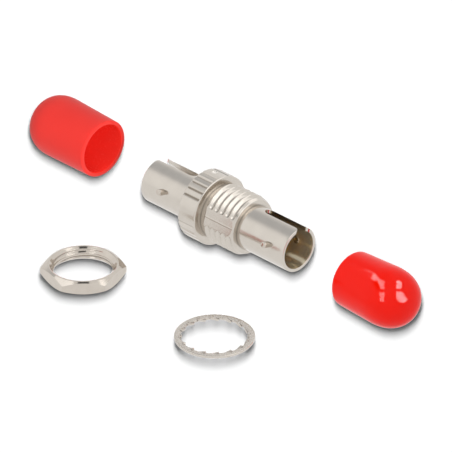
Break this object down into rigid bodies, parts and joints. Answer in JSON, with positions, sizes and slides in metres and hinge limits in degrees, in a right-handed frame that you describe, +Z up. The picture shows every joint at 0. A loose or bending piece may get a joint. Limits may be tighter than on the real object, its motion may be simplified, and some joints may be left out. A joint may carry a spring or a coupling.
{
  "type": "st fibre adapter",
  "caption": "Bayonet fibre-optic panel adapter with knurled collar and threaded neck, its nut, lock washer and two dust caps laid out beside it.",
  "frame": {"origin": "on the adapter's axis, in the plane of the collar's panel face, where the threaded neck begins", "axes": "+X along the adapter's axis toward the front barrel that passes through the panel, +Y away from the loose nut and washer, +Z up from the surface that all pieces lie on"},
  "size_m": [0.0793, 0.034, 0.011],
  "materials": {
    "plated_housing": "nickel plate over die-cast zinc, satin to bright",
    "plated_pins": "nickel plate over turned brass",
    "holder_brass": "turned, unplated",
    "sleeve_ceramic": "ground zirconia, fine satin",
    "plated_nut": "nickel plate over machined brass, bright",
    "plated_washer": "nickel plate over stamped spring steel, satin",
    "red_vinyl": "dip-moulded soft vinyl, satin to gloss"
  },
  "bodies": {
    "root": {"housing": "plated_housing", "bayonet_pins": "plated_pins", "sleeve_holder": "holder_brass", "split_sleeve": "sleeve_ceramic", "sleeve_retainer": "holder_brass", "hex_nut": "plated_nut", "lock_washer": "plated_washer", "front_dust_cap": "red_vinyl", "rear_dust_cap": "red_vinyl"}
  },
  "joints": []
}
